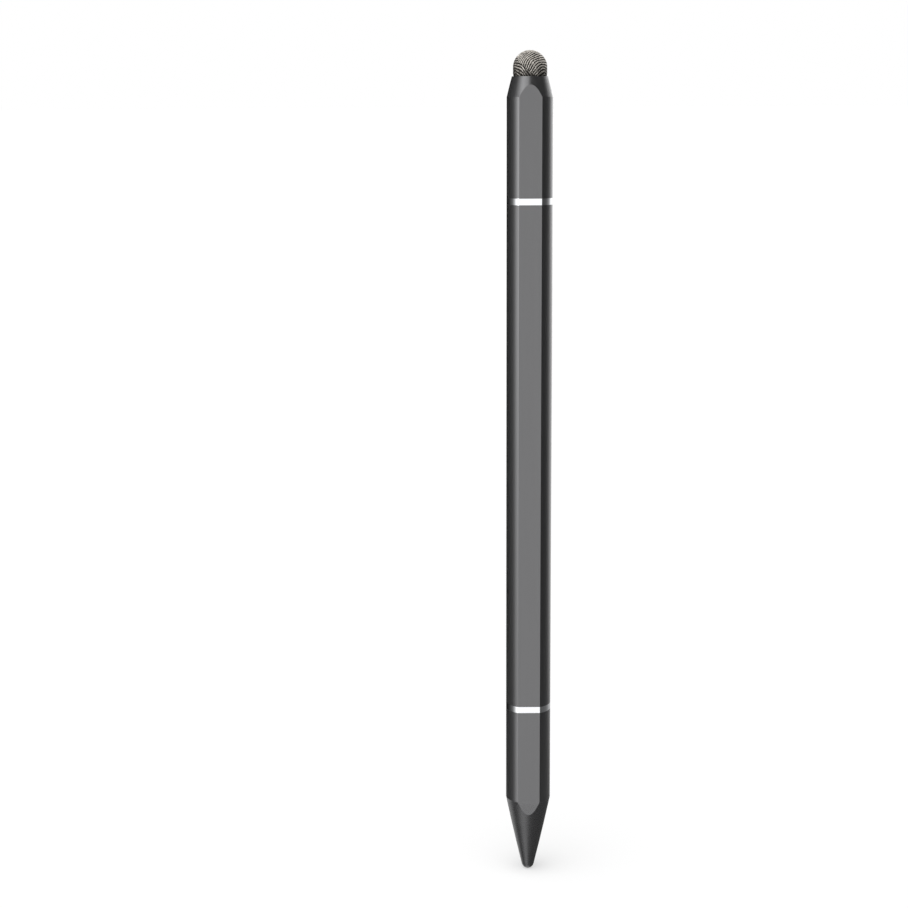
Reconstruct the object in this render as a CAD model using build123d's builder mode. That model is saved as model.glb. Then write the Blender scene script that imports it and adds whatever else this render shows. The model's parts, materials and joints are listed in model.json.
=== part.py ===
# A two-ended stylus pen: a tapered nib at one end, a round knitted-mesh tip at the other.
# It is held upright at the middle of its front section, which is the origin. +Z runs up the pen
# from the nib to the mesh tip, and the long flat faces -Y. Millimetres.
import os
from math import asin, atan2, cos, degrees, hypot, pi, sin, sqrt

from build123d import *

os.makedirs("parts", exist_ok=True)

# Outside section: a round bar with one long flat.
barrel_diameter = 9.0
flat_width = 4.4

# Lengths along the pen, from the nib up.
nib_length = 15.65
front_length = 19.0
ring_height = 1.25
barrel_length = 100.6
tail_length = 19.2
taper_length = 3.92
taper_bulge = 0.02
mesh_straight = 1.77

# Wall left behind the flat by the bore, lip of the tapered collar round the mesh tip,
# and the running clearance of what turns.
flat_wall = 0.66
collar_lip = 0.245
running_clearance = 0.05

# Nib: a blunt, faintly bulged cone on a spigot, with a contact rod down its middle.
nib_round_radius = 1.27
nib_bulge = 0.06
shell_lip_length = 0.5
nib_spigot_length = 7.0
core_diameter = 2.2
core_tip_depth = 5.0
core_socket_depth = 5.0

# Screw joint at each ring: connector with boss and spigot (shares of the bore), threaded insert, seal.
connector_body_length = 9.0
boss_share = 0.806
spigot_share = 0.62
spigot_length = 9.6
spigot_chamfer = 0.4
seal_thickness = 0.7
seal_sides = 6
seal_groove_depth = 0.45
insert_length = 11.0
insert_counterbore_depth = 2.5
insert_chamfer = 0.3

# Mesh tip: knitted cover over a soft core, hem bound to a turned holder.
cover_thickness = 0.4
cover_tuck = 3.4
holder_flange_height = 0.8
holder_neck_height = 1.6
holder_stem_diameter = 2.4
holder_stem_length = 3.8
hem_slope_height = 0.5
band_height = 0.9
crown_steps = 2
side_steps = 3

# Radii that follow from those sizes.
barrel_radius = barrel_diameter / 2
flat_distance = sqrt(barrel_radius**2 - (flat_width / 2) ** 2)
bore_radius = flat_distance - flat_wall
collar_radius = bore_radius + collar_lip
core_radius = core_diameter / 2
boss_radius = boss_share * bore_radius
spigot_radius = spigot_share * bore_radius
seal_groove_radius = spigot_radius - seal_groove_depth
seal_inner_radius = seal_groove_radius + running_clearance
seal_outer_radius = seal_inner_radius + seal_thickness
seal_groove_height = seal_thickness + 2 * running_clearance
seal_offset = insert_counterbore_depth / 2
insert_bore_radius = spigot_radius + running_clearance
insert_counterbore_radius = seal_outer_radius + running_clearance

# Stations up the pen.
nib_tip = -(nib_length + front_length / 2)
cone_top = nib_tip + nib_length
front_bottom = cone_top - shell_lip_length
front_top = cone_top + front_length
barrel_bottom = front_top + ring_height
barrel_top = barrel_bottom + barrel_length
tail_bottom = barrel_top + ring_height
taper_bottom = tail_bottom + tail_length
tail_top = taper_bottom + taper_length
dome_centre = tail_top + mesh_straight

# The nib's straight side touches its round end at this angle to the axis.
side_reach = hypot(barrel_radius, nib_length - nib_round_radius)
side_angle = atan2(barrel_radius, nib_length - nib_round_radius) - asin(nib_round_radius / side_reach)
round_end_radius = nib_round_radius * cos(side_angle)
round_end_top = nib_tip + nib_round_radius * (1 - sin(side_angle))
nib_slope = (barrel_radius - round_end_radius) / (cone_top - round_end_top)
lip_slope = nib_slope - 4 * nib_bulge / (cone_top - round_end_top)
nib_base_radius = barrel_radius - shell_lip_length * lip_slope

half_plane = Plane.XZ
pen_axis = Axis.Z


def bulged_side(start, end, bulge):
    """Points from start to end on a side that stands out by bulge at its middle, in a few plain cones."""
    shares = [step / side_steps for step in range(side_steps + 1)]
    return [
        (
            start[0] + share * (end[0] - start[0]) + 4 * bulge * share * (1 - share),
            start[1] + share * (end[1] - start[1]),
        )
        for share in shares
    ]


nib_side = bulged_side((round_end_radius, round_end_top), (nib_base_radius, front_bottom), nib_bulge)
taper_side = bulged_side((barrel_radius, taper_bottom), (collar_radius, tail_top), taper_bulge)


def flat_sided_disc(radius):
    """A full disc of this radius, cut off along the pen's flat."""
    Circle(radius)
    with Locations((0, -flat_distance)):
        Rectangle(2 * radius, 2 * radius, align=(Align.CENTER, Align.MAX), mode=Mode.SUBTRACT)


def cut_flat(bottom, top):
    """Carry the pen's flat through a turned piece."""
    with BuildSketch(Plane.XY.offset(bottom)) as waste:
        with Locations((0, -flat_distance)):
            Rectangle(barrel_diameter, barrel_diameter, align=(Align.CENTER, Align.MAX))
    extrude(waste.sketch, amount=top - bottom, mode=Mode.SUBTRACT)


# Front head: nib, contact rod, shell, trim ring and connector.
with BuildPart() as nib:
    with BuildSketch(half_plane):
        with BuildLine():
            TangentArc((0, nib_tip), (round_end_radius, round_end_top), tangent=(1, 0))
            Polyline(
                *nib_side,
                (bore_radius, front_bottom),
                (bore_radius, front_bottom + nib_spigot_length),
                (core_radius, front_bottom + nib_spigot_length),
                (core_radius, nib_tip + core_tip_depth),
                (0, nib_tip + core_tip_depth),
                (0, nib_tip),
            )
        make_face()
    revolve(axis=pen_axis)
    cut_flat(nib_tip, cone_top)
nib.part.label = "nib"
export_step(nib.part, "parts/nib.step")

rod_bottom = nib_tip + core_tip_depth
rod_top = front_top - connector_body_length + core_socket_depth
with BuildPart() as nib_core:
    with BuildSketch(Plane.XY.offset(rod_bottom)):
        Circle(core_radius)
    extrude(amount=rod_top - rod_bottom)
nib_core.part.label = "nib_core"
export_step(nib_core.part, "parts/nib_core.step")

with BuildPart() as front_shell:
    with BuildSketch(half_plane):
        with BuildLine():
            Polyline(
                (bore_radius, front_bottom),
                (nib_base_radius, front_bottom),
                (barrel_radius, cone_top),
                (barrel_radius, front_top),
                (bore_radius, front_top),
                close=True,
            )
        make_face()
    revolve(axis=pen_axis)
    cut_flat(front_bottom, front_top)
front_shell.part.label = "front_shell"
export_step(front_shell.part, "parts/front_shell.step")


def trim_ring(bottom):
    """A flush ring with the pen's own section, bored for the connector's boss."""
    with BuildSketch(Plane.XY.offset(bottom)) as section:
        flat_sided_disc(barrel_radius)
        Circle(boss_radius, mode=Mode.SUBTRACT)
    extrude(section.sketch, amount=ring_height)


with BuildPart() as lower_ring:
    trim_ring(front_top)
lower_ring.part.label = "lower_ring"
export_step(lower_ring.part, "parts/lower_ring.step")


def connector_profile(seat, way):
    """Half outline of a connector. Its body ends at seat, and its spigot points up (1) or down (-1)."""
    boss_end = seat + way * ring_height
    groove_start = boss_end + way * (seal_offset - seal_groove_height / 2)
    groove_end = groove_start + way * seal_groove_height
    spigot_end = boss_end + way * spigot_length
    Polyline(
        (0, seat - way * connector_body_length),
        (bore_radius, seat - way * connector_body_length),
        (bore_radius, seat),
        (boss_radius, seat),
        (boss_radius, boss_end),
        (spigot_radius, boss_end),
        (spigot_radius, groove_start),
        (seal_groove_radius, groove_start),
        (seal_groove_radius, groove_end),
        (spigot_radius, groove_end),
        (spigot_radius, spigot_end - way * spigot_chamfer),
        (spigot_radius - spigot_chamfer, spigot_end),
        (0, spigot_end),
        close=True,
    )


with BuildPart() as front_connector:
    with BuildSketch(half_plane):
        with BuildLine():
            connector_profile(front_top, 1)
        make_face()
    revolve(axis=pen_axis)
    with BuildSketch(Plane.XY.offset(front_top - connector_body_length)):
        Circle(core_radius)
    extrude(amount=core_socket_depth, mode=Mode.SUBTRACT)
front_connector.part.label = "front_connector"
export_step(front_connector.part, "parts/front_connector.step")


def seal_ring(height):
    """A small seal of six-sided section lying in the groove of a spigot."""
    with BuildSketch(half_plane) as section:
        with Locations((seal_inner_radius + seal_thickness / 2, height)):
            RegularPolygon(seal_thickness / 2, seal_sides)
    revolve(section.sketch, axis=pen_axis)


with BuildPart() as front_o_ring:
    seal_ring(barrel_bottom + seal_offset)
front_o_ring.part.label = "front_o_ring"
export_step(front_o_ring.part, "parts/front_o_ring.step")

# Barrel: the long tube and the threaded insert in each end.
with BuildPart() as barrel_tube:
    with BuildSketch(Plane.XY.offset(barrel_bottom)):
        flat_sided_disc(barrel_radius)
        Circle(bore_radius, mode=Mode.SUBTRACT)
    extrude(amount=barrel_length)
barrel_tube.part.label = "barrel_tube"
export_step(barrel_tube.part, "parts/barrel_tube.step")


def insert_profile(mouth, way):
    """Half outline of a threaded insert. Its mouth is at one end of the barrel, and it runs up or down."""
    counterbore_end = mouth + way * insert_counterbore_depth
    far_end = mouth + way * insert_length
    Polyline(
        (insert_counterbore_radius, mouth),
        (bore_radius, mouth),
        (bore_radius, far_end),
        (insert_bore_radius, far_end),
        (insert_bore_radius, counterbore_end + way * insert_chamfer),
        (insert_counterbore_radius, counterbore_end),
        close=True,
    )


with BuildPart() as lower_insert:
    with BuildSketch(half_plane):
        with BuildLine():
            insert_profile(barrel_bottom, 1)
        make_face()
    revolve(axis=pen_axis)
lower_insert.part.label = "lower_insert"
export_step(lower_insert.part, "parts/lower_insert.step")

with BuildPart() as upper_insert:
    with BuildSketch(half_plane):
        with BuildLine():
            insert_profile(barrel_top, -1)
        make_face()
    revolve(axis=pen_axis)
upper_insert.part.label = "upper_insert"
export_step(upper_insert.part, "parts/upper_insert.step")

# Tail head: seal, trim ring, connector, shell and the mesh tip.
with BuildPart() as tail_o_ring:
    seal_ring(barrel_top - seal_offset)
tail_o_ring.part.label = "tail_o_ring"
export_step(tail_o_ring.part, "parts/tail_o_ring.step")

with BuildPart() as upper_ring:
    trim_ring(barrel_top)
upper_ring.part.label = "upper_ring"
export_step(upper_ring.part, "parts/upper_ring.step")

with BuildPart() as tail_connector:
    with BuildSketch(half_plane):
        with BuildLine():
            connector_profile(tail_bottom, -1)
        make_face()
    revolve(axis=pen_axis)
tail_connector.part.label = "tail_connector"
export_step(tail_connector.part, "parts/tail_connector.step")

with BuildPart() as tail_shell:
    with BuildSketch(half_plane):
        with BuildLine():
            Polyline(
                (bore_radius, tail_bottom),
                (barrel_radius, tail_bottom),
                *taper_side,
                (bore_radius, tail_top),
                close=True,
            )
        make_face()
    revolve(axis=pen_axis)
    cut_flat(tail_bottom, tail_top)
tail_shell.part.label = "tail_shell"
export_step(tail_shell.part, "parts/tail_shell.step")

# The holder is pressed down onto the connector, and the knit is drawn in under its flange.
holder_bottom = tail_bottom + connector_body_length
flange_top = tail_top - cover_tuck
flange_bottom = flange_top - holder_flange_height
neck_bottom = flange_bottom - holder_neck_height
flange_radius = bore_radius - cover_thickness
neck_radius = flange_radius - cover_thickness
hem_radius = neck_radius + cover_thickness
hem_top = flange_bottom - cover_thickness
stem_radius = holder_stem_diameter / 2
stem_top = flange_top + holder_stem_length

with BuildPart() as mesh_holder:
    with BuildSketch(half_plane):
        with BuildLine():
            Polyline(
                (0, holder_bottom),
                (bore_radius, holder_bottom),
                (bore_radius, neck_bottom),
                (neck_radius, neck_bottom),
                (neck_radius, flange_bottom),
                (flange_radius, flange_bottom),
                (flange_radius, flange_top),
                (stem_radius, flange_top),
                (stem_radius, stem_top),
                (0, stem_top),
                close=True,
            )
        make_face()
    revolve(axis=pen_axis)
mesh_holder.part.label = "mesh_holder"
export_step(mesh_holder.part, "parts/mesh_holder.step")

# Crown of the soft core, a dome in a few plain cones from its shoulder to its top.
crown_turns = [pi / 2 * step / crown_steps for step in range(crown_steps)]
crown_points = [(flange_radius * cos(turn), dome_centre + flange_radius * sin(turn)) for turn in crown_turns]
crown_points.append((0, dome_centre + flange_radius))

with BuildPart() as mesh_core:
    with BuildSketch(half_plane):
        with BuildLine():
            Polyline(
                *crown_points,
                (0, stem_top),
                (stem_radius, stem_top),
                (stem_radius, flange_top),
                (flange_radius, flange_top),
                close=True,
            )
        make_face()
    revolve(axis=pen_axis)
mesh_core.part.label = "mesh_core"
export_step(mesh_core.part, "parts/mesh_core.step")

with BuildPart() as mesh_cover:
    with BuildSketch(half_plane):
        with BuildLine():
            TangentArc((bore_radius, dome_centre), (0, dome_centre + bore_radius), tangent=(0, 1))
            Polyline(
                (0, dome_centre + bore_radius),
                *reversed(crown_points),
                (flange_radius, flange_bottom),
                (neck_radius, flange_bottom),
                (neck_radius, neck_bottom),
                (hem_radius, neck_bottom),
                (hem_radius, hem_top),
                (bore_radius, hem_top + hem_slope_height),
                (bore_radius, dome_centre),
            )
        make_face()
    revolve(axis=pen_axis)
mesh_cover.part.label = "mesh_cover"
export_step(mesh_cover.part, "parts/mesh_cover.step")

with BuildPart() as crimp_band:
    with BuildSketch(Plane.XY.offset(neck_bottom)):
        Circle(bore_radius)
        Circle(hem_radius, mode=Mode.SUBTRACT)
    extrude(amount=band_height)
crimp_band.part.label = "crimp_band"
export_step(crimp_band.part, "parts/crimp_band.step")

print("overall length", round(dome_centre + bore_radius - nib_tip, 2), "flat at", round(-flat_distance, 3))
print("bore radius", round(bore_radius, 3), "nib side angle", round(degrees(side_angle), 2), "degrees")
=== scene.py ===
# %% [markdown]
# A slim two-ended stylus stands upright on its nib, with its long flat turned to the viewer.
# The solids come packed from CAD in one fixed frame, in metres, so each new piece goes where they say.
# Blender adds what solids cannot give: finishes, a knitted tip, screw threads, light and a camera.

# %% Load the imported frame
import json
from math import atan2, ceil, cos, hypot, pi, radians, sin, tan

import bmesh
import bpy
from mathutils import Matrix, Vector


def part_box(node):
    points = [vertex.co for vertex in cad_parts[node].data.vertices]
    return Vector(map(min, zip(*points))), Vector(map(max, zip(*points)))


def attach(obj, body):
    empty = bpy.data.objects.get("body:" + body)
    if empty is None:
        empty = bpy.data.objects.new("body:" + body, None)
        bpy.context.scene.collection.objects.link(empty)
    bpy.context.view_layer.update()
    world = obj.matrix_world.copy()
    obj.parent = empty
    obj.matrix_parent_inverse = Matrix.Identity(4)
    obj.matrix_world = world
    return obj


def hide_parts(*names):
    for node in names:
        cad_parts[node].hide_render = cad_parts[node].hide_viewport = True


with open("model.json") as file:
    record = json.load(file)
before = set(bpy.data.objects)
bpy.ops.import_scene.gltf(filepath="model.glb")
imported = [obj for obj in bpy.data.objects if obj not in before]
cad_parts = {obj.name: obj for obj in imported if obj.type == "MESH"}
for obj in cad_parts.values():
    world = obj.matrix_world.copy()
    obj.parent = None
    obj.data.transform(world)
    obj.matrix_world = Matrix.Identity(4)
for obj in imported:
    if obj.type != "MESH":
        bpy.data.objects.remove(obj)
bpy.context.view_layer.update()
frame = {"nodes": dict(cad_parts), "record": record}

MM = 0.001
nodes = frame["nodes"]
print("nodes:", sorted(nodes))

# %% [markdown]
# Every later piece hangs on a few heights of the pen, so they are read from the nodes themselves.
# Reading them keeps the new pieces right when a length of the pen changes.

# %% Heights and radii of the pen
tip_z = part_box("nib")[0].z
collar_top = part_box("tail_shell")[1].z
dome_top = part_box("mesh_cover")[1].z
dome_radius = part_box("mesh_cover")[1].x
dome_centre = dome_top - dome_radius
print("tip %.2f mm, collar %.2f mm, dome top %.2f mm" % (tip_z / MM, collar_top / MM, dome_top / MM))

# %% [markdown]
# The photograph was taken from about the height of the pen's top, looking down, with a longish lens.
# A camera could be placed by eye. This one was fitted to both chrome rings and to the outline,
# which gives its place, pitch and roll, so the render can be laid over the photograph.
# The frame is square, so the lens and the 36 mm sensor alone settle the field of view.

# %% Camera
camera_down = 10.5388
camera_roll = radians(-0.2419)
scene = bpy.context.scene
camera_data = bpy.data.cameras.new("studio_camera")
camera_data.lens = 75.766
camera_data.sensor_width = 36.0
camera_data.clip_start = 0.01
camera = bpy.data.objects.new("studio_camera", camera_data)
camera.location = (-14.911 * MM, -373.815 * MM, 156.744 * MM + tip_z)
camera.rotation_euler = (radians(90 - camera_down), 0, 0)
camera.rotation_euler.rotate_axis("Z", camera_roll)
scene.collection.objects.link(camera)
scene.camera = camera
scene.view_settings.view_transform = "Standard"
print("camera at", [round(v, 4) for v in camera.location])


# %% [markdown]
# Shader colours are linear light, but swatches are picked in sRGB, so one function converts them.
# A second small function adds any node, sets its values and links its inputs.
# A third starts a material, because every finish below begins in the same way.

# %% Colour and node helpers
def linear(hex_colour):
    """Linear RGBA of an sRGB hex colour."""
    levels = [int(hex_colour[i:i + 2], 16) / 255 for i in (1, 3, 5)]
    return [v / 12.92 if v <= 0.04045 else ((v + 0.055) / 1.055) ** 2.4 for v in levels] + [1.0]


def add_node(tree, kind, inputs=None, **settings):
    """A new node with these settings; inputs are values or the sockets to link from."""
    node = tree.nodes.new(kind)
    for name, value in settings.items():
        setattr(node, name, value)
    for name, value in (inputs or {}).items():
        if isinstance(value, bpy.types.NodeSocket):
            tree.links.new(value, node.inputs[name])
        else:
            node.inputs[name].default_value = value
    return node


def new_material(name):
    """An empty node material with its output, returned as (material, tree, output)."""
    material = bpy.data.materials.new(name)
    material.use_nodes = True
    tree = material.node_tree
    tree.nodes.clear()
    return material, tree, add_node(tree, "ShaderNodeOutputMaterial")


print("helpers ready, mid grey is", [round(v, 3) for v in linear("#808080")])

# %% [markdown]
# The set is a white sweep that reads as pure white behind the pen, as in a catalogue picture.
# More light would do that too, but it would wash out the pen. Instead the world is white
# at strength 1 to the camera, to mirrors and to glass, and much softer as a fill light.

# %% White world
fill_light = 0.2
scene.world = bpy.data.worlds.new("white_sweep")
scene.world.use_nodes = True
sky = scene.world.node_tree
sky.nodes.clear()
rays = add_node(sky, "ShaderNodeLightPath")
seen = add_node(sky, "ShaderNodeMath", {
    0: rays.outputs["Is Camera Ray"], 1: rays.outputs["Is Glossy Ray"]}, operation="MAXIMUM")
seen = add_node(sky, "ShaderNodeMath", {
    0: seen.outputs[0], 1: rays.outputs["Is Transmission Ray"]}, operation="MAXIMUM")
strength = add_node(sky, "ShaderNodeMath", {
    0: seen.outputs[0], 1: 1 - fill_light, 2: fill_light}, operation="MULTIPLY_ADD")
background = add_node(sky, "ShaderNodeBackground", {
    "Color": linear("#FFFFFF"), "Strength": strength.outputs[0]})
add_node(sky, "ShaderNodeOutputWorld", {"Surface": background.outputs[0]})
print("world nodes:", len(sky.nodes), "fill light:", fill_light)

# %% [markdown]
# The pen stands on a sheet of white paper that runs on to the horizon.
# To the camera the paper adds a little glow of its own, so it ends as white and still takes a shadow.
# It is hidden from mirrors, because the lights round the pen say what the metal shows.

# %% Paper floor
key_light = 1.25
floor_half = 30.0
floor_glow = 0.62
white_margin = 0.03
floor_mesh = bpy.data.meshes.new("floor")
sketch = bmesh.new()
bmesh.ops.create_grid(sketch, x_segments=1, y_segments=1, size=floor_half)
bmesh.ops.translate(sketch, verts=sketch.verts, vec=(0, 0, tip_z))
sketch.to_mesh(floor_mesh)
sketch.free()
floor = bpy.data.objects.new("floor", floor_mesh)
scene.collection.objects.link(floor)
floor.visible_glossy = False

floor_paper, tree, output = new_material("white paper sweep")
lit_share = (1 - floor_glow + white_margin) / (key_light + fill_light)
rays = add_node(tree, "ShaderNodeLightPath")
plain = add_node(tree, "ShaderNodeBsdfDiffuse", {"Color": linear("#7A7A7A")})
shade = add_node(tree, "ShaderNodeBsdfDiffuse", {"Color": [lit_share] * 3 + [1.0]})
glow = add_node(tree, "ShaderNodeEmission", {"Color": linear("#FFFFFF"), "Strength": floor_glow})
shown = add_node(tree, "ShaderNodeAddShader", {0: shade.outputs[0], 1: glow.outputs[0]})
paper = add_node(tree, "ShaderNodeMixShader", {
    0: rays.outputs["Is Camera Ray"], 1: plain.outputs[0], 2: shown.outputs[0]})
tree.links.new(paper.outputs[0], output.inputs["Surface"])
floor_mesh.materials.append(floor_paper)
print("floor at %.2f mm" % (tip_z / MM))

# %% [markdown]
# A broad key light stands high on the left, so the shadow stays short and soft.
# A sun lamp with a wide angle does that at any size of set. It is hidden from mirrors,
# because the shiny parts should show only the panel and the flags below.

# %% Key light
key_turn = radians(-25)
key_height = radians(81)
key_data = bpy.data.lights.new("key_panel", "SUN")
key_data.energy = pi * key_light / sin(key_height)
key_data.angle = radians(40)
key = bpy.data.objects.new("key_panel", key_data)
towards_key = Vector((
    sin(key_turn) * cos(key_height), -cos(key_turn) * cos(key_height), sin(key_height)))
key.rotation_euler = towards_key.to_track_quat("Z", "Y").to_euler()
key.visible_glossy = False
scene.collection.objects.link(key)
print("key light", round(key_data.energy, 3), "W per square metre")

# %% [markdown]
# Metal has little colour of its own: it shows what stands round it.
# The streaks down the pen are a long soft panel at the front left, a dark flag on the right
# and another behind on the left, with white sweep showing between them.
# Lamps and cards could stand round the pen. One tall open drum that only reflections see
# carries all of them instead, as gradients round the pen, and leaves the shadow alone.

# %% Drum round the pen
drum_radius = 1.0
drum_half_height = 2.5
drum_sides = 96
drum_mesh = bpy.data.meshes.new("panel_and_flags")
sketch = bmesh.new()
bmesh.ops.create_cone(sketch, cap_ends=False, segments=drum_sides, radius1=drum_radius, radius2=drum_radius,
                      depth=2 * drum_half_height)
sketch.to_mesh(drum_mesh)
sketch.free()
drum = bpy.data.objects.new("panel_and_flags", drum_mesh)
scene.collection.objects.link(drum)
for ray in ("camera", "diffuse", "transmission", "volume_scatter", "shadow"):
    setattr(drum, "visible_" + ray, False)
print("drum faces:", len(drum_mesh.polygons))

# %% [markdown]
# Each list below goes once round the drum: an angle from the front, right positive, and the light there.
# The straight sections see the level list. The taper and the dome face up and see the high one,
# and the nib's cone faces down and sees the low one. The right-hand rim fades to white
# near the top of the pen, so behind on the right the sweep is brighter at eye level.

# %% Lights round the pen
high_stops = [
    (-180, 0.0), (-150, 0.02), (-112, 0.07), (-98, 0.11), (-90, 0.2), (-80, 0.5), (-66, 1.25), (-52, 2.05),
    (-42, 2.2), (-26, 1.8), (-14, 1.5), (-4, 0.62), (6, 0.12), (20, 0.07), (84, 0.06), (98, 0.26),
    (110, 0.85), (119, 1.25), (130, 1.6), (144, 1.5), (160, 0.5), (176, 0.2), (180, 0.1)]
level_stops = [
    (-180, 0.0), (-150, 0.01), (-128, 0.03), (-116, 0.058), (-104, 0.102), (-96, 0.16), (-84, 0.5),
    (-71, 1.4), (-60, 2.95), (-48, 3.2), (-30, 1.75), (-8, 1.2), (9, 1.2), (20, 0.22), (32, 0.09),
    (80, 0.07), (94, 0.12), (109, 0.34), (127, 1.0), (145, 1.0), (176, 1.0), (180, 0.4)]
low_stops = [
    (-180, 0.4), (-150, 0.8), (-129, 0.64), (-112, 0.25), (-98, 0.1), (-80, 0.17), (-55, 0.56), (-34, 0.72),
    (-14, 0.44), (3, 0.21), (22, 0.16), (82, 0.15), (136, 0.13), (165, 0.16), (180, 0.4)]
right_sweep = [(118, 0.85), (127, 1.45), (141, 1.9), (176, 2.1), (180, 0.4)]
eye_stops = [stop for stop in level_stops if stop[0] < right_sweep[0][0]] + right_sweep
print("stops, from high to low:", [len(stops) for stops in (high_stops, eye_stops, level_stops, low_stops)])

# %% [markdown]
# The four lists blend into each other with height. The panel leans a little towards its foot,
# and the edge of the low flag is tilted: higher and softer behind on the right, lower at the front.
# A colour ramp ends at 1, so the lights are stored as shares of the fullest one.

# %% Panel and flags
drum_full = 2.5
high_start = drum_radius * tan(radians(12))
high_end = drum_radius * tan(radians(22))
eye_start = -0.1 * drum_radius
eye_end = 0.26 * drum_radius
low_start = (0.19, 0.123, -0.351 * drum_radius)
low_end = (0.079, 0.07, -0.542 * drum_radius)
lean_end = -drum_radius * tan(radians(20))
lean = radians(8)
drum_light, tree, output = new_material("lit panel and black flags")
place = add_node(tree, "ShaderNodeTexCoord")
axes = add_node(tree, "ShaderNodeSeparateXYZ", {0: place.outputs["Object"]})
front = add_node(tree, "ShaderNodeMath", {0: axes.outputs["Y"], 1: -1.0}, operation="MULTIPLY")
turn = add_node(tree, "ShaderNodeMath", {0: axes.outputs["X"], 1: front.outputs[0]}, operation="ARCTAN2")
leaning = add_node(tree, "ShaderNodeMapRange", {
    "Value": axes.outputs["Z"], "From Min": 0.0, "From Max": lean_end, "To Max": lean})
turn = add_node(tree, "ShaderNodeMath", {0: turn.outputs[0], 1: leaning.outputs[0]}, operation="SUBTRACT")
share = add_node(tree, "ShaderNodeMapRange", {"Value": turn.outputs[0], "From Min": -pi, "From Max": pi})


def round_the_pen(light_stops):
    """A ramp round the drum that gives these lights at these angles from the front."""
    ramp = add_node(tree, "ShaderNodeValToRGB", {"Fac": share.outputs[0]})
    stops = ramp.color_ramp.elements
    while len(stops) < len(light_stops):
        stops.new(0.5)
    for stop, (angle, light) in zip(stops, light_stops):
        stop.position = (angle + 180) / 360
        stop.color = [light / drum_full] * 3 + [1.0]
    return ramp.outputs["Color"]


def tilted_edge(tilt_x, tilt_y, height):
    """The height of a tilted edge at each place on the drum."""
    slope = add_node(tree, "ShaderNodeVectorMath", {
        0: place.outputs["Object"], 1: (tilt_x, tilt_y, 0)}, operation="DOT_PRODUCT")
    edge = add_node(tree, "ShaderNodeMath", {0: slope.outputs["Value"], 1: height}, operation="ADD")
    return edge.outputs[0]


around = round_the_pen(level_stops)
for start, end, light_stops in (
        (eye_start, eye_end, eye_stops), (high_start, high_end, high_stops),
        (tilted_edge(*low_start), tilted_edge(*low_end), low_stops)):
    reached = add_node(tree, "ShaderNodeMapRange", {
        "Value": axes.outputs["Z"], "From Min": start, "From Max": end}, interpolation_type="SMOOTHSTEP")
    blend = add_node(tree, "ShaderNodeMix", {
        "Factor": reached.outputs[0], "A": around, "B": round_the_pen(light_stops)}, data_type="RGBA")
    around = blend.outputs["Result"]
lit = add_node(tree, "ShaderNodeEmission", {"Color": around, "Strength": drum_full})
tree.links.new(lit.outputs[0], output.inputs["Surface"])
drum_light.cycles.emission_sampling = "NONE"
drum_mesh.materials.append(drum_light)
print("panel and flags nodes:", len(tree.nodes))

# %% [markdown]
# The three body sections are drawn aluminium tube, etched to a satin and anodised dark grey.
# A dyed oxide on metal mirrors about a sixth of the light, so it looks mid grey where it faces
# the panel and near black where it faces a flag. Dark metal alone gives that sharp part. A rough coat
# over it gives the dull sheen of the clear oxide on top, and drawing leaves faint lines along the tube.

# %% Anodised body
# To the eye: clear streaks along the pen, over a faint grey haze.
# Real draw lines are finer. These are as coarse as they need to be to show.
draw_line_width = 0.25 * MM
draw_line_length = 18 * MM
body_finish, tree, output = new_material("dark grey anodised aluminium, satin")
place = add_node(tree, "ShaderNodeTexCoord")
stretch = add_node(tree, "ShaderNodeMapping", {
    "Vector": place.outputs["Object"],
    "Scale": (1 / draw_line_width, 1 / draw_line_width, 1 / draw_line_length)})
lines = add_node(tree, "ShaderNodeTexNoise", {"Vector": stretch.outputs[0], "Scale": 1.0, "Detail": 3.0})
tone = add_node(tree, "ShaderNodeMix", {
    "Factor": lines.outputs["Fac"], "A": linear("#666667"), "B": linear("#6C6C6D")}, data_type="RGBA")
gloss = add_node(tree, "ShaderNodeMapRange", {"Value": lines.outputs["Fac"], "To Min": 0.12, "To Max": 0.16})
coat = add_node(tree, "ShaderNodeBsdfPrincipled", {
    "Metallic": 0.86, "Base Color": tone.outputs["Result"], "Roughness": gloss.outputs[0],
    "Coat Weight": 0.8, "Coat Roughness": 0.6})
tree.links.new(coat.outputs[0], output.inputs["Surface"])
print(body_finish.name, "- draw lines %.2f mm wide" % (draw_line_width / MM))

# %% [markdown]
# The nib is moulded from carbon-filled plastic, which carries the finger's charge to the glass.
# Plain plastic would look too flat here, because the carbon gives it the lustre of graphite.
# So it is made as a dull dark metal with the fine grain of an eroded mould.

# %% Nib plastic
# To the eye: as dark as the body, with softer streaks.
# Real mould grain is finer. This is as coarse as it needs to be to show.
grain_size = 0.12 * MM
nib_finish, tree, output = new_material("carbon-filled conductive plastic, moulded satin")
place = add_node(tree, "ShaderNodeTexCoord")
grain = add_node(tree, "ShaderNodeTexNoise", {
    "Vector": place.outputs["Object"], "Scale": 1 / grain_size, "Detail": 2.0})
tone = add_node(tree, "ShaderNodeMix", {
    "Factor": grain.outputs["Fac"], "A": linear("#6F6F70"), "B": linear("#777778")}, data_type="RGBA")
gloss = add_node(tree, "ShaderNodeMapRange", {"Value": grain.outputs["Fac"], "To Min": 0.24, "To Max": 0.32})
skin = add_node(tree, "ShaderNodeBsdfPrincipled", {
    "Metallic": 0.84, "Base Color": tone.outputs["Result"], "Roughness": gloss.outputs[0]})
tree.links.new(skin.outputs[0], output.inputs["Surface"])
print(nib_finish.name, "- grain %.2f mm" % (grain_size / MM))


# %% [markdown]
# The seam rings, the connectors and the crimped band are all turned or rolled metal.
# A lathe leaves fine rings round the pen, so one function stretches noise into rings for all three,
# and each metal brings its own colours, polish and line width.

# %% Chrome, brass and steel
ring_stretch = 0.02


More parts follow.
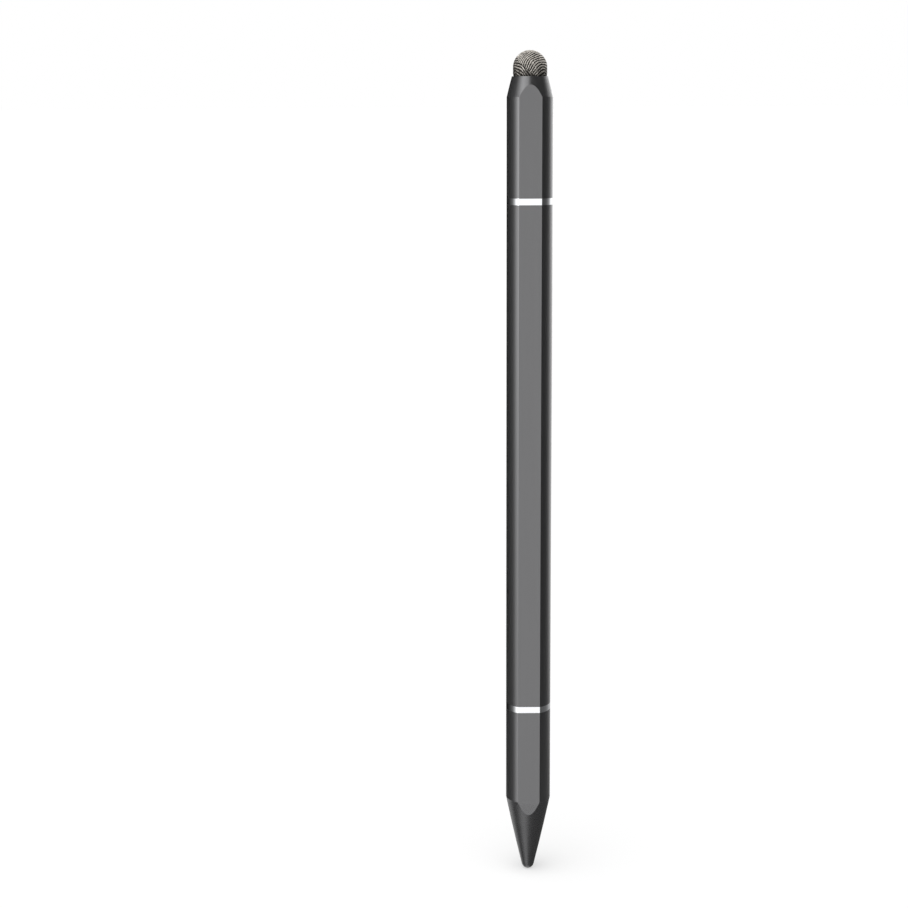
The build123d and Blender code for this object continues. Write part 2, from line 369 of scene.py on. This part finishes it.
def turned_metal(name, colour_a, colour_b, rough_a, rough_b, line_width):
    """A lathe-turned metal: fine rings round the pen in tone and gloss."""
    material, tree, output = new_material(name)
    place = add_node(tree, "ShaderNodeTexCoord")
    stretch = add_node(tree, "ShaderNodeMapping", {
        "Vector": place.outputs["Object"],
        "Scale": (ring_stretch / line_width, ring_stretch / line_width, 1 / line_width)})
    rings = add_node(tree, "ShaderNodeTexNoise", {"Vector": stretch.outputs[0], "Scale": 1.0, "Detail": 2.0})
    tone = add_node(tree, "ShaderNodeMix", {
        "Factor": rings.outputs["Fac"], "A": linear(colour_a), "B": linear(colour_b)}, data_type="RGBA")
    gloss = add_node(tree, "ShaderNodeMapRange", {
        "Value": rings.outputs["Fac"], "To Min": rough_a, "To Max": rough_b})
    metal = add_node(tree, "ShaderNodeBsdfPrincipled", {
        "Metallic": 1.0, "Base Color": tone.outputs["Result"], "Roughness": gloss.outputs[0]})
    tree.links.new(metal.outputs[0], output.inputs["Surface"])
    print(name, "- lines %.2f mm" % (line_width / MM))
    return material


# Chrome is almost a mirror: white where it faces the panel, dark where it faces a flag.
ring_chrome = turned_metal("bright chrome plate", "#F2F3F5", "#E6E8EA", 0.05, 0.1, 0.1 * MM)
# Bare brass is warm yellow, with the tool's rings in its shine.
turned_brass = turned_metal("turned brass", "#D9B872", "#C9A55C", 0.18, 0.3, 0.08 * MM)
# Rolled steel is a cooler, duller grey.
band_steel = turned_metal("rolled steel strip", "#C4C5C7", "#B4B5B7", 0.2, 0.32, 0.1 * MM)


# %% [markdown]
# The seals and the core of the tip are moulded rubber, matt and nearly black.
# A bloom of wax comes to the surface of rubber with time, so the black is faintly mottled.

# %% Moulded rubber
bloom_size = 0.3 * MM


def moulded_rubber(name, colour_a, colour_b):
    """Matt moulded rubber with a fine mottled bloom."""
    material, tree, output = new_material(name)
    place = add_node(tree, "ShaderNodeTexCoord")
    bloom = add_node(tree, "ShaderNodeTexNoise", {
        "Vector": place.outputs["Object"], "Scale": 1 / bloom_size, "Detail": 3.0})
    tone = add_node(tree, "ShaderNodeMix", {
        "Factor": bloom.outputs["Fac"], "A": linear(colour_a), "B": linear(colour_b)}, data_type="RGBA")
    skin = add_node(tree, "ShaderNodeBsdfPrincipled", {
        "Base Color": tone.outputs["Result"], "Roughness": 0.6})
    tree.links.new(skin.outputs[0], output.inputs["Surface"])
    print(name, "- bloom %.2f mm" % (bloom_size / MM))
    return material


# Nitrile is a cool black with hardly any shine, and silicone is a warmer, softer black.
seal_rubber = moulded_rubber("black nitrile rubber, moulded", "#1B1B1C", "#2A2A2B")
core_rubber = moulded_rubber("conductive silicone, moulded", "#2C2B2A", "#3A3937")

# %% [markdown]
# The record says which material slot each solid belongs to, so a whole assembly is dressed in one loop.
# The solids keep their shapes. Only their plain grey material is exchanged for the finish.

# %% Dress the CAD nodes
finishes = {
    "body_finish": body_finish,
    "nib_plastic": nib_finish,
    "ring_chrome": ring_chrome,
    "turned_brass": turned_brass,
    "band_steel": band_steel,
    "seal_rubber": seal_rubber,
    "core_rubber": core_rubber,
}
for subpart in frame["record"]["subparts"]:
    finish = finishes.get(subpart["material_slot"])
    if finish:
        mesh = nodes[subpart["node"]].data
        mesh.materials.clear()
        mesh.materials.append(finish)

# %% [markdown]
# The yarn is nylon with a thin coat of silver, which looks like dull warm-grey metal.
# Its own silver shows on the crowns of the ribs, and down in the gaps the colour is painted shade,
# brown-black.
# So the colour follows the depth under the dome's surface, worked out from the place itself.
# The wear comes in patches. Down by the collar the colour is darker as painted shade, and near the top it is
# lighter as painted light.

# %% Silvered yarn
# To the eye: bright dashes on the ribs, painted shade near black between them, painted shade darker towards
# the collar.
# Real fibres are finer. These are as coarse as they need to be to show.
fibre_size = 0.12 * MM
# Depths of the painted shade in the gaps: full silver above the first, darkest below the second.
crown_depth = 0.08 * MM
gap_shade_depth = 0.23 * MM
knit_bulge = 0.1 * MM
patch_size = 0.55 * MM
patch_low = 0.5
patch_high = 1.5
# Painted shade low on the dome's wall and painted light near its top:
shade_fade_start = 0.55 * MM
shade_fade_end = 2.7 * MM
collar_painted_shade = 0.5
dome_painted_light = 1.45
yarn_finish, tree, output = new_material("silver-coated nylon yarn, with painted shade")
place = add_node(tree, "ShaderNodeTexCoord")
fibre = add_node(tree, "ShaderNodeTexNoise", {
    "Vector": place.outputs["Object"], "Scale": 1 / fibre_size, "Detail": 3.0})
silver = add_node(tree, "ShaderNodeMix", {
    "Factor": fibre.outputs["Fac"], "A": linear("#D6D0C7"), "B": linear("#FBF6EE")}, data_type="RGBA")
axes = add_node(tree, "ShaderNodeSeparateXYZ", {0: place.outputs["Object"]})
above = add_node(tree, "ShaderNodeMath", {0: axes.outputs["Z"], 1: dome_centre}, operation="SUBTRACT")
above = add_node(tree, "ShaderNodeMath", {0: above.outputs[0], 1: 0.0}, operation="MAXIMUM")
out = add_node(tree, "ShaderNodeCombineXYZ", {
    "X": axes.outputs["X"], "Y": axes.outputs["Y"], "Z": above.outputs[0]})
drawn_in = dome_radius / (dome_radius + knit_bulge)
out = add_node(tree, "ShaderNodeVectorMath", {
    0: out.outputs[0], 1: (drawn_in, drawn_in, 1)}, operation="MULTIPLY")
reach = add_node(tree, "ShaderNodeVectorMath", {0: out.outputs[0]}, operation="LENGTH")
# Painted shade: the colour darkens with depth down between the ribs.
depth_shade = add_node(tree, "ShaderNodeMapRange", {
    "Value": reach.outputs["Value"],
    "From Min": dome_radius - gap_shade_depth, "From Max": dome_radius - crown_depth})
patches = add_node(tree, "ShaderNodeTexNoise", {
    "Vector": place.outputs["Object"], "Scale": 1 / patch_size, "Detail": 1.0})
patchy = add_node(tree, "ShaderNodeMapRange", {
    "Value": patches.outputs["Fac"], "From Min": 0.4, "From Max": 0.6,
    "To Min": patch_low, "To Max": patch_high})
# Painted shade and light: darker down by the collar, lighter up the dome.
collar_shade = add_node(tree, "ShaderNodeMapRange", {
    "Value": axes.outputs["Z"], "From Min": collar_top + shade_fade_start, "From Max": collar_top + shade_fade_end,
    "To Min": collar_painted_shade, "To Max": dome_painted_light}, interpolation_type="SMOOTHSTEP")
wear_and_painted_shade = add_node(tree, "ShaderNodeMath", {0: patchy.outputs[0], 1: collar_shade.outputs[0]}, operation="MULTIPLY")
wear_and_painted_shade = add_node(tree, "ShaderNodeMath", {0: depth_shade.outputs[0], 1: wear_and_painted_shade.outputs[0]}, operation="MULTIPLY")
# The dark colour is painted shade, mixed in by the painted shade factors and the random wear patches.
tone = add_node(tree, "ShaderNodeMix", {
    "Factor": wear_and_painted_shade.outputs[0], "A": linear("#37322C"), "B": silver.outputs["Result"]}, data_type="RGBA")
yarn = add_node(tree, "ShaderNodeBsdfPrincipled", {
    "Base Color": tone.outputs["Result"], "Metallic": 0.45, "Roughness": 0.28})
tree.links.new(yarn.outputs[0], output.inputs["Surface"])
# The backing is painted shade: a near-black shell under the knit, seen only down the gaps between the ribs.
gap_shade_finish = moulded_rubber("painted shade under the knit", "#171512", "#24211D")
print(yarn_finish.name, "- nodes:", len(tree.nodes))

# %% [markdown]
# The tip is a sock of fine silvered yarn, plain-knitted and pulled tight over a soft core.
# In plain knitting every course is one yarn that swings up and down in loops, and each loop hangs
# in the one below. The two legs of a loop stand close together and proud of the rest, so they stack
# into a rib, and the yarn that crosses to the next rib lies deep in a dark gap.
# A bump pattern would look printed so close to the eye, so every loop is laid as yarn.

# %% Sizes of the knit
rib_pitch = 0.33 * MM
course_pitch = 0.35 * MM
yarn_radius = 0.17 * rib_pitch
loop_rise = 0.95 * course_pitch
loop_pinch = 0.135 * rib_pitch
loop_round = 0.05 * rib_pitch
leg_height = 0.06 * MM
cross_depth = 0.15 * MM
loop_steps = 16
tuck = 0.3 * MM
wall_height = dome_centre - collar_top
yarn_dome_radius = dome_radius - yarn_radius - leg_height
wall_start = dome_radius * pi / 2
cloth_stretch = 18 * MM
cloth_reach = wall_start + wall_height + tuck
cloth_radius = cloth_reach / (1 + cloth_reach / cloth_stretch)
print("yarn %.3f mm thick, cloth %.2f mm across" % (2 * yarn_radius / MM, 2 * cloth_radius / MM))

# %% [markdown]
# The loops are drawn on flat cloth first, then laid over the dome from its top.
# A flat cloth is too wide for the sides, so a quarter of it is folded away inside one slanting pleat.
# The cloth was folded flat once, which left a crease that flattens the ribs and kinks them a little.
# Cloth that is pulled on by hand is never straight, so the ribs also wander.

# %% Cloth over the dome
rib_turn = radians(48)
cloth_kept = 0.75
wander = 0.055 * MM
wander_along = 2.3 * MM
wander_across = 3.1 * MM
pleat_start = radians(-138)
pleat_slant = radians(22.5) / MM
pleat_overlap = 0.22 * MM
pleat_dip = 0.15 * MM
pleat_ease = 0.6 * MM
bulge_ease = 0.5 * MM
crease_at = -2.3 * MM
crease_kink = -0.12


def on_dome(along, across, lift):
    """Where a point of the flat cloth comes to lie, lift above the yarn's resting height.
    along runs with the ribs and across runs over them. None is off the cloth or inside the pleat."""
    across += crease_kink * max(along - crease_at, 0)
    across += wander * sin(2 * pi * (along / wander_along + across / wander_across))
    u = along * cos(rib_turn) - across * sin(rib_turn)
    v = along * sin(rib_turn) + across * cos(rib_turn)
    reach = hypot(u, v)
    if reach > cloth_radius:
        return None
    run = reach / (1 - reach / cloth_stretch)
    polar = min(run, wall_start) / dome_radius
    ring = dome_radius * sin(polar)
    pleat = pleat_start + pleat_slant * run
    side = (atan2(u, -v) - cloth_kept * pleat) % (2 * pi) / cloth_kept
    if side > pi * (1 + 1 / cloth_kept):
        side -= 2 * pi / cloth_kept
    over_edge = -side * ring
    under_edge = (side - 2 * pi) * ring
    if max(over_edge, under_edge) > pleat_overlap:
        return None
    roll = pleat_dip * (max(over_edge, 0) / pleat_overlap) ** 2
    dip = pleat_dip * min(max(1 + under_edge / pleat_ease, 0), 1)
    fall = max(run - wall_start, 0)
    bulge = knit_bulge * sin(polar) ** 2 * min(max((wall_height - fall) / bulge_ease, 0), 1)
    radius = yarn_dome_radius + lift + bulge - roll - dip
    height = dome_centre + (radius - bulge) * cos(polar) - fall
    return Vector((
        radius * sin(polar) * sin(pleat + side), -radius * sin(polar) * cos(pleat + side), height))


print("cloth's centre lies at %.2f mm" % (on_dome(0, 0, 0).z / MM))

# %% [markdown]
# Each course is walked in small steps, and the yarn ends wherever the cloth or the pleat ends.
# A curve with a round bevel is the short way to yarn: the points are its middle line.
# The cloth is walked a little past its edge, because the kink shifts some ribs sideways.

# %% Yarn laid in loops
crease_half = 0.3 * MM
shift_margin = 1.3
shortest_length = 4
yarn_curve = bpy.data.curves.new("yarn", "CURVE")
yarn_curve.dimensions = "3D"
yarn_curve.bevel_depth = yarn_radius
yarn_curve.bevel_resolution = 1
yarn_curve.use_fill_caps = True


def lay_yarn(points):
    """One length of yarn through these points."""
    if len(points) < shortest_length:
        return
    spline = yarn_curve.splines.new("POLY")
    spline.points.add(len(points) - 1)
    for point, place in zip(spline.points, points):
        point.co = (*place, 1)


courses = ceil(cloth_radius / course_pitch)
stitches = ceil(shift_margin * cloth_radius / rib_pitch)
for course in range(-courses, courses + 1):
    length = []
    for step in range(-stitches * loop_steps, stitches * loop_steps + 1):
        turn = 2 * pi * step / loop_steps
        along = course * course_pitch + loop_rise * cos(turn)
        across = rib_pitch * step / loop_steps - loop_pinch * sin(turn) + loop_round * sin(2 * turn)
        depth = cross_depth * min(abs(along - crease_at) / crease_half, 1)
        point = on_dome(along, across, depth * (cos(turn) - 1) / 2 - leg_height * cos(2 * turn))
        if point:
            length.append(point)
        else:
            lay_yarn(length)
            length = []
    lay_yarn(length)
print("lengths of yarn:", len(yarn_curve.splines))

# %% [markdown]
# The export and the bake want a mesh, so the curve is turned into one and its holder is thrown away.

# %% Yarn to mesh
yarn_holder = bpy.data.objects.new("yarn_holder", yarn_curve)
scene.collection.objects.link(yarn_holder)
bpy.context.view_layer.update()
laid_yarn = yarn_holder.evaluated_get(bpy.context.evaluated_depsgraph_get())
knit_mesh = bpy.data.meshes.new_from_object(laid_yarn)
bpy.data.objects.remove(yarn_holder)
knit_mesh.name = "knit_cover"
knit_mesh.materials.clear()
knit_mesh.materials.append(yarn_finish)
knit_mesh.materials.append(gap_shade_finish)
print("yarn faces:", len(knit_mesh.polygons))

# %% [markdown]
# A turned piece is a half outline swept round the pen's axis, as it is on a lathe.
# A full spin that merges its ends leaves no seam. The knit's backing needs it first,
# and the connectors and the seals below use the same function.

# %% Lathe helper
lathe_steps = 64
merge_gap = 0.001 * MM


def sweep_round(sketch, outline, steps):
    """Sweep the points (radius, height) of an outline once round the axis. One that returns is a ring."""
    points = [sketch.verts.new((radius, 0, height)) for radius, height in outline]
    edges = [sketch.edges.new(pair) for pair in zip(points, points[1:])]
    bmesh.ops.spin(sketch, geom=points + edges, cent=(0, 0, 0), axis=(0, 0, 1), angle=2 * pi,
                   steps=steps, use_merge=True)


print("lathe steps:", lathe_steps)

# %% [markdown]
# Between the ribs the eye meets the back of the knit, not the core, so a shell lies under the yarn, coloured
# near black as painted shade.
# It is a plain dome with a short wall down into the collar, in the same mesh as the yarn.

# %% Painted shade under the knit
backing_depth = 0.36 * MM
backing_radius = dome_radius - backing_depth
backing_steps = 48
dome_steps = 16
sketch = bmesh.new()
sketch.from_mesh(knit_mesh)
for face in sketch.faces:
    face.smooth = True
    face.material_index = 0
yarn_faces = set(sketch.faces)
outline = [(backing_radius, collar_top - tuck)]
for i in range(dome_steps + 1):
    polar = pi / 2 * (1 - i / dome_steps)
    outline.append((backing_radius * sin(polar), dome_centre + backing_radius * cos(polar)))
sweep_round(sketch, outline, backing_steps)
backing_verts = list({vert for face in sketch.faces if face not in yarn_faces for vert in face.verts})
bmesh.ops.remove_doubles(sketch, verts=backing_verts, dist=merge_gap)
backing = [face for face in sketch.faces if face not in yarn_faces]
bmesh.ops.recalc_face_normals(sketch, faces=backing)
for face in backing:
    face.smooth = True
    face.material_index = 1
sketch.to_mesh(knit_mesh)
sketch.free()
print("knit faces:", len(knit_mesh.polygons))

# %% [markdown]
# The knitted cover stands for the plain soft solid and moves with the tail of the pen.
# It is stretched tight over its core.

# %% Place the knitted cover
knit_cover = bpy.data.objects.new("knit_cover", knit_mesh)
scene.collection.objects.link(knit_cover)
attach(knit_cover, "tail_head")
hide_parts("mesh_cover")
print("knitted cover stands on the collar at %.2f mm" % (collar_top / MM))

# %% [markdown]
# Every turned piece is finished in the same way, so one function does it for all.
# It closes the sweep, keeps the edges crisp and hangs the piece on the body it belongs to.

# %% Finish a turned piece
crisp_angle = radians(30)


def place_piece(sketch, name, body, finish):
    """Close the mesh, shade it smooth between its crisp edges and let it ride on its body."""
    bmesh.ops.remove_doubles(sketch, verts=sketch.verts, dist=merge_gap)
    bmesh.ops.recalc_face_normals(sketch, faces=sketch.faces)
    for face in sketch.faces:
        face.smooth = True
    for edge in sketch.edges:
        edge.smooth = edge.calc_face_angle(0) < crisp_angle
    mesh = bpy.data.meshes.new(name)
    sketch.to_mesh(mesh)
    sketch.free()
    mesh.materials.append(finish)
    piece = bpy.data.objects.new(name, mesh)
    scene.collection.objects.link(piece)
    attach(piece, body)
    print(name, "faces:", len(mesh.polygons))
    return piece


print("edges over %.0f degrees stay crisp" % (crisp_angle * 180 / pi))

# %% [markdown]
# The screw thread of both joints is an M4 coarse one, 0.7 mm a turn, cut right-handed.
# A thread could be modelled as a stack of rings, but it would not be a screw.
# So one small ridge outline is spun round the axis while it climbs, and its far end is closed.

# %% Screw thread
thread_pitch = 0.7 * MM
thread_depth = 0.43 * MM
crest_half = 0.06 * MM
root_half = 0.33 * MM
thread_steps = 32
hair = 0.01 * MM


def wind_thread(sketch, low, high, crest, root):
    """Wind one ridge round the axis from low to high, and give its number of turns."""
    turns = (high - low - 2 * root_half) / thread_pitch
    ridge = [sketch.verts.new((radius, 0, low + root_half + rise)) for radius, rise in (
        (root - hair, -root_half), (crest, -crest_half), (crest, crest_half), (root - hair, root_half))]
    sketch.faces.new(ridge)
    edges = [sketch.edges.get(pair) for pair in zip(ridge, ridge[1:] + ridge[:1])]
    steps = round(turns * thread_steps)
    swept = bmesh.ops.spin(sketch, geom=ridge + edges, cent=(0, 0, 0), axis=(0, 0, 1), angle=2 * pi * turns,
                           dvec=(0, 0, turns * thread_pitch / steps), steps=steps)
    end = [item for item in swept["geom_last"] if isinstance(item, bmesh.types.BMEdge)]
    bmesh.ops.contextual_create(sketch, geom=end)
    return turns


print("thread pitch %.2f mm, depth %.2f mm" % (thread_pitch / MM, thread_depth / MM))

# %% [markdown]
# Each connector is turned from brass bar: a body pressed into its shell, a boss that centres the chrome
# ring, a groove for the seal and a threaded spigot. The plain solid gives every radius and height,
# so the turned piece fits where the solid does, and the thread is added between them.

# %% Threaded connectors
thread_clear = 2.1 * MM
chamfer = 0.15 * MM


def threaded_connector(name, node, body, ring, way, socket=None):
    """A turned connector with its thread. Its spigot points up (way 1) or down (way -1).
    socket is the top corner of a rod that stands in the foot of its body."""
    seat, boss_end = [end.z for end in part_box(ring)][::way]
    base, tip = [end.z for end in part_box(node)][::way]
    corners = [(hypot(point.co.x, point.co.y), point.co.z) for point in nodes[node].data.vertices]
    on_spigot = [corner for corner in corners if way * boss_end + hair < way * corner[1] < way * tip - hair]
    body_radius = max(radius for radius, height in corners)
    boss_radius = max(radius for radius, height in corners if abs(height - boss_end) < hair)
    crest = max(radius for radius, height in on_spigot)
    groove = min(radius for radius, height in on_spigot)
    in_groove = [way * height for radius, height in on_spigot if radius < groove + hair]
    groove_start, groove_end = way * min(in_groove), way * max(in_groove)
    thread_start = boss_end + way * thread_clear
    root = crest - thread_depth

    cut = way * chamfer
    foot = [(0, socket.z), (socket.x, socket.z), (socket.x, base)] if socket else [(0, base)]
    sketch = bmesh.new()
    sweep_round(sketch, foot + [
        (body_radius - chamfer, base), (body_radius, base + cut),
        (body_radius, seat - cut), (body_radius - chamfer, seat),
        (boss_radius, seat), (boss_radius, boss_end), (crest, boss_end),
        (crest, groove_start), (groove, groove_start), (groove, groove_end), (crest, groove_end),
        (crest, thread_start - way * thread_depth), (root, thread_start),
        (root, tip - cut), (root - chamfer, tip), (0, tip)], lathe_steps)
    turns = wind_thread(sketch, *sorted((thread_start, tip - cut)), crest, root)
    piece = place_piece(sketch, name, body, turned_brass)
    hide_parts(node)
    print("  crest %.2f mm, root %.2f mm, %.1f turns" % (crest / MM, root / MM, turns))


threaded_connector("front_threaded_connector", "front_connector", "front_head", "lower_ring", 1,
                   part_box("nib_core")[1])
threaded_connector("tail_threaded_connector", "tail_connector", "tail_head", "upper_ring", -1)

# %% [markdown]
# A seal ring is a round cord of nitrile rubber moulded into a hoop, 0.7 mm thick.
# It keeps the screw joint from working loose, because it drags a little in its insert.
# A round outline swept round the axis gives it, on the place of the plain six-sided solid.

# %% Seal rings
cord_radius = 0.35 * MM
cord_steps = 20


def round_seal(name, node, body):
    """A hoop of round section on the place of the plain seal."""
    low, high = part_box(node)
    middle = (low.z + high.z) / 2
    section = []
    for step in range(cord_steps + 1):
        turn = 2 * pi * step / cord_steps
        section.append((high.x - cord_radius + cord_radius * cos(turn), middle + cord_radius * sin(turn)))
    sketch = bmesh.new()
    sweep_round(sketch, section, lathe_steps)
    piece = place_piece(sketch, name, body, seal_rubber)
    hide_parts(node)


round_seal("front_seal_ring", "front_o_ring", "front_seal")
round_seal("tail_seal_ring", "tail_o_ring", "tail_seal")
